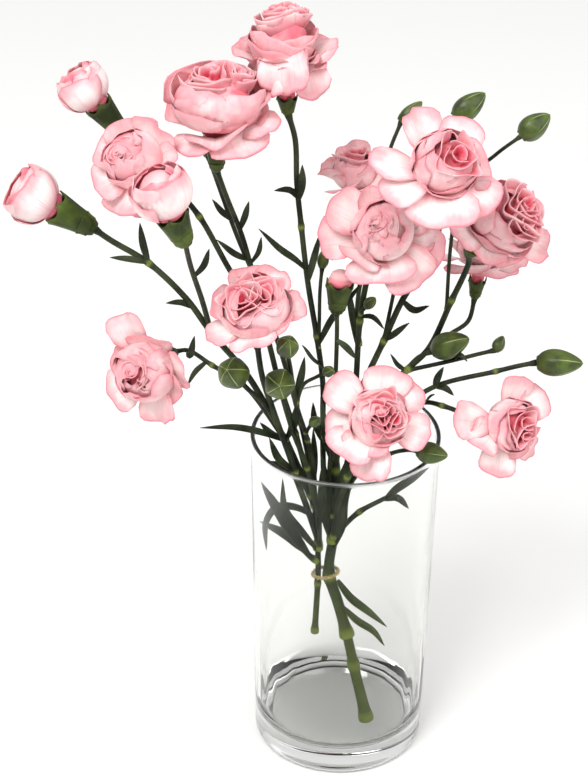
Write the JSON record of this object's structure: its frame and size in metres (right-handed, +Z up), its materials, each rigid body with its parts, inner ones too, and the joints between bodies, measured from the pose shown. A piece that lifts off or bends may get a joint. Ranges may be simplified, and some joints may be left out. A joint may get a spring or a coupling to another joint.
{
  "type": "mini carnation stems in a glass",
  "caption": "Pink spray carnation stems with ruffled blooms and closed buds, tied and standing in a clear tapered drinking glass",
  "frame": {"origin": "centre of the flat underside of the glass, on the surface it stands on", "axes": "+Z up along the axis of the glass, +X to the right and +Y away from the viewer in the picture's view, right-handed"},
  "size_m": [0.2367, 0.1152, 0.3411],
  "materials": {
    "glass": "clear, polished",
    "band": "tan twisted raffia tie",
    "greenery": "grey-green stems, leaves, cups and buds with a soft waxy bloom",
    "petals": "pale pink petals with deeper pink edges and hearts"
  },
  "bodies": {
    "root": {"glass": "glass", "band": "band", "stem_right": "greenery", "stem_left": "greenery", "bloom_crown": "petals", "bloom_upper_left": "petals", "bloom_left": "petals", "bloom_centre": "petals", "bloom_low_left": "petals", "bloom_top_right": "petals", "bloom_right_front": "petals", "bloom_back_right": "petals", "bloom_right": "petals", "bloom_hidden_right": "petals", "bloom_front": "petals", "bloom_low_right": "petals", "opening_top": "petals", "opening_middle": "petals", "opening_far_left": "petals", "opening_showing": "petals"}
  },
  "joints": []
}
